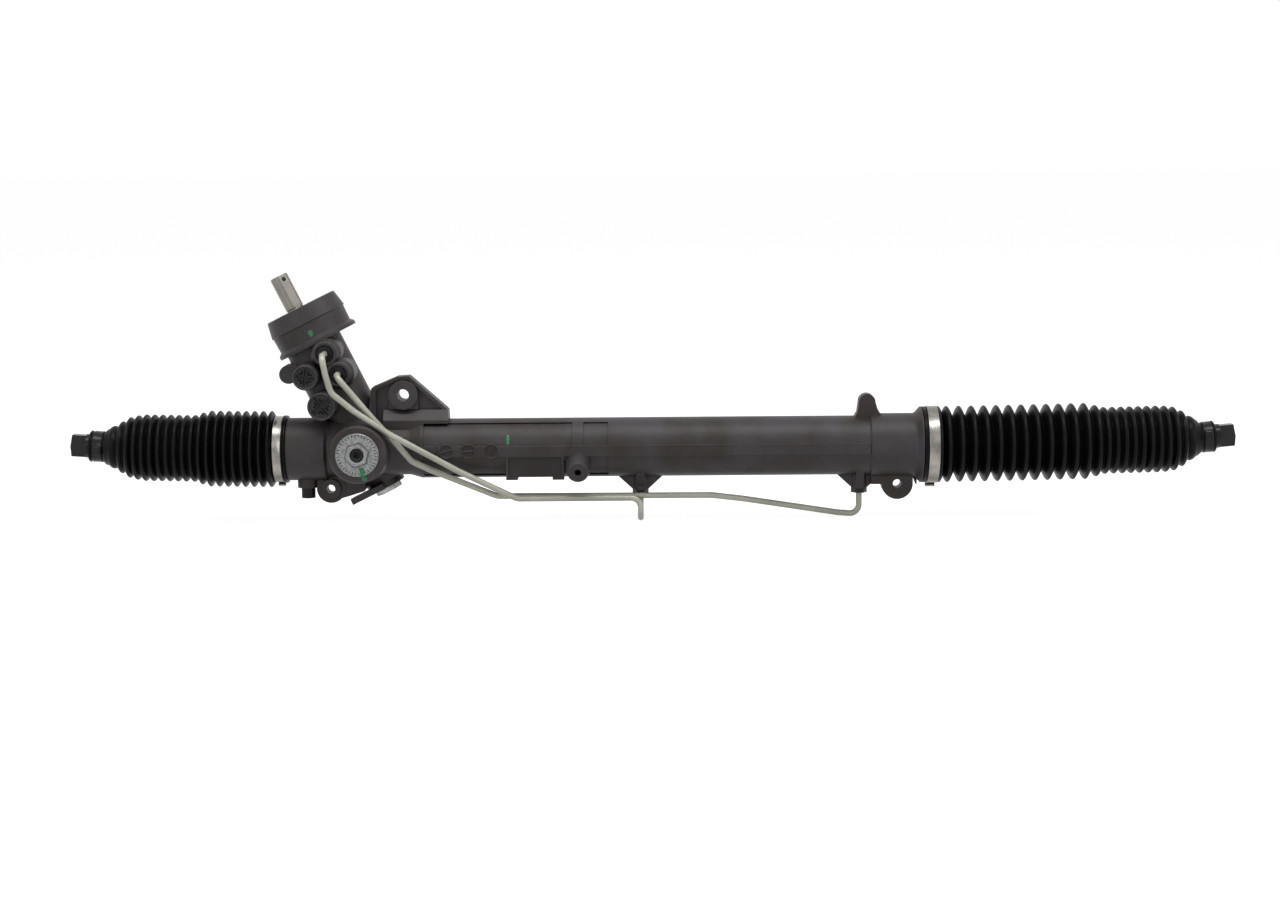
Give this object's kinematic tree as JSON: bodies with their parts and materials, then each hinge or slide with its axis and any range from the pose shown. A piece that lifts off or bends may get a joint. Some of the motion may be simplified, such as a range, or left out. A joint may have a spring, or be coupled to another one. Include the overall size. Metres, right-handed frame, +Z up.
{
  "type": "steering rack",
  "caption": "Hydraulic power steering rack with cast housing, rotary valve tower, two pressure pipes, bellows and inner tie rods.",
  "frame": {"origin": "centre of the upper mounting lug's bore", "axes": "+X along the rack away from the valve tower, +Y to the back, away from the yoke adjuster, +Z up"},
  "size_m": [1.1603, 0.1193, 0.2481],
  "materials": {
    "cast_alloy": "cast, under a thin dark coating",
    "machined_steel": "machined and oiled",
    "hardened_steel": "ground",
    "bearing_steel": "polished",
    "dark_steel": "phosphated, dark",
    "zinc_steel": "zinc plated",
    "stainless_band": "stainless",
    "coated_pipe": "aluminised coating",
    "die_cast": "die cast, bare",
    "black_plastic": "moulded",
    "bearing_plastic": "moulded acetal",
    "ring_plastic": "filled PTFE",
    "seal_rubber": "nitrile",
    "bellows_rubber": "thermoplastic elastomer"
  },
  "bodies": {
    "housing": {"rack_housing": "cast_alloy", "lower_bearing_outer": "bearing_steel", "pinion_end_cap": "zinc_steel", "pinion_seal": "seal_rubber", "pinion_needle_bearing": "bearing_steel", "input_needle_bearing": "bearing_steel", "input_seal": "seal_rubber", "input_retaining_ring": "dark_steel", "valve_cover": "cast_alloy", "yoke": "die_cast", "yoke_liner": "ring_plastic", "yoke_o_ring": "seal_rubber", "yoke_spring": "dark_steel", "yoke_adjuster": "die_cast", "adjuster_plug": "black_plastic", "inner_rack_seal": "seal_rubber", "seal_backup": "bearing_plastic", "end_bulkhead": "die_cast", "bulkhead_o_ring": "seal_rubber", "end_rack_seal": "seal_rubber", "rack_bushing": "bearing_plastic", "bulkhead_ring": "dark_steel", "bellows_left": "bellows_rubber", "bellows_right": "bellows_rubber", "large_clamp_left": "stainless_band", "large_clamp_right": "stainless_band", "pipe_short": "coated_pipe", "pipe_long": "coated_pipe", "valve_pipe_nuts": "dark_steel", "cylinder_pipe_nuts": "zinc_steel", "pressure_port_plug": "black_plastic", "return_port_plug": "black_plastic", "vent_cap": "black_plastic"},
    "rack": {"rack_bar": "machined_steel", "rack_piston": "machined_steel", "piston_ring": "ring_plastic", "piston_clips": "dark_steel", "ball_socket_left": "machined_steel", "ball_socket_right": "machined_steel"},
    "pinion": {"pinion": "hardened_steel", "valve_sleeve": "hardened_steel", "valve_seal_rings": "ring_plastic", "lower_bearing_inner": "bearing_steel", "pinion_nut": "dark_steel"},
    "bearing_cage": {"lower_bearing_balls": "bearing_steel"},
    "input_shaft": {"input_shaft": "machined_steel", "torsion_bar": "hardened_steel", "torsion_bar_pin": "hardened_steel"},
    "seat_left": {"ball_seat_left": "bearing_plastic"},
    "tie_rod_left": {"tie_rod_left": "dark_steel", "small_clamp_left": "dark_steel"},
    "seat_right": {"ball_seat_right": "bearing_plastic"},
    "tie_rod_right": {"tie_rod_right": "dark_steel", "small_clamp_right": "dark_steel"}
  },
  "joints": [
    {"name": "rack_slide", "type": "slide", "parent": "housing", "child": "rack", "axis": [1, 0, 0], "range_m": [-0.063, 0.063], "deforming": ["bellows_left", "bellows_right"]},
    {"name": "pinion_turn", "type": "hinge", "parent": "housing", "child": "pinion", "pos_m": [-0.0399, 0.01766, -0.0545], "axis": [-0.4446, 0, 0.8957], "range_deg": [-486.9, 486.9]},
    {"name": "cage_turn", "type": "hinge", "parent": "housing", "child": "bearing_cage", "pos_m": [-0.02478, 0.01766, -0.08495], "axis": [-0.4446, 0, 0.8957], "range_deg": [-194, 194]},
    {"name": "torsion_bar_twist", "type": "hinge", "parent": "pinion", "child": "input_shaft", "pos_m": [-0.06658, 0.01766, -0.00076], "axis": [-0.4446, 0, 0.8957], "range_deg": [-4.5, 4.5], "stiffness_Nm_per_rad": 90},
    {"name": "left_rod_steer", "type": "hinge", "parent": "rack", "child": "seat_left", "pos_m": [-0.2449, 0, -0.0545], "axis": [0, 0, 1], "range_deg": [-20, 20]},
    {"name": "left_rod_swing", "type": "hinge", "parent": "seat_left", "child": "tie_rod_left", "pos_m": [-0.2449, 0, -0.0545], "axis": [0, 1, 0], "range_deg": [-20, 20]},
    {"name": "right_rod_steer", "type": "hinge", "parent": "rack", "child": "seat_right", "pos_m": [0.7403, 0, -0.0545], "axis": [0, 0, 1], "range_deg": [-20, 20]},
    {"name": "right_rod_swing", "type": "hinge", "parent": "seat_right", "child": "tie_rod_right", "pos_m": [0.7403, 0, -0.0545], "axis": [0, 1, 0], "range_deg": [-20, 20]}
  ],
  "couplings": [
    {"joint": "pinion_turn", "follows": "rack_slide", "rad_per_m": 134.74},
    {"joint": "cage_turn", "follows": "rack_slide", "rad_per_m": 53.608}
  ]
}
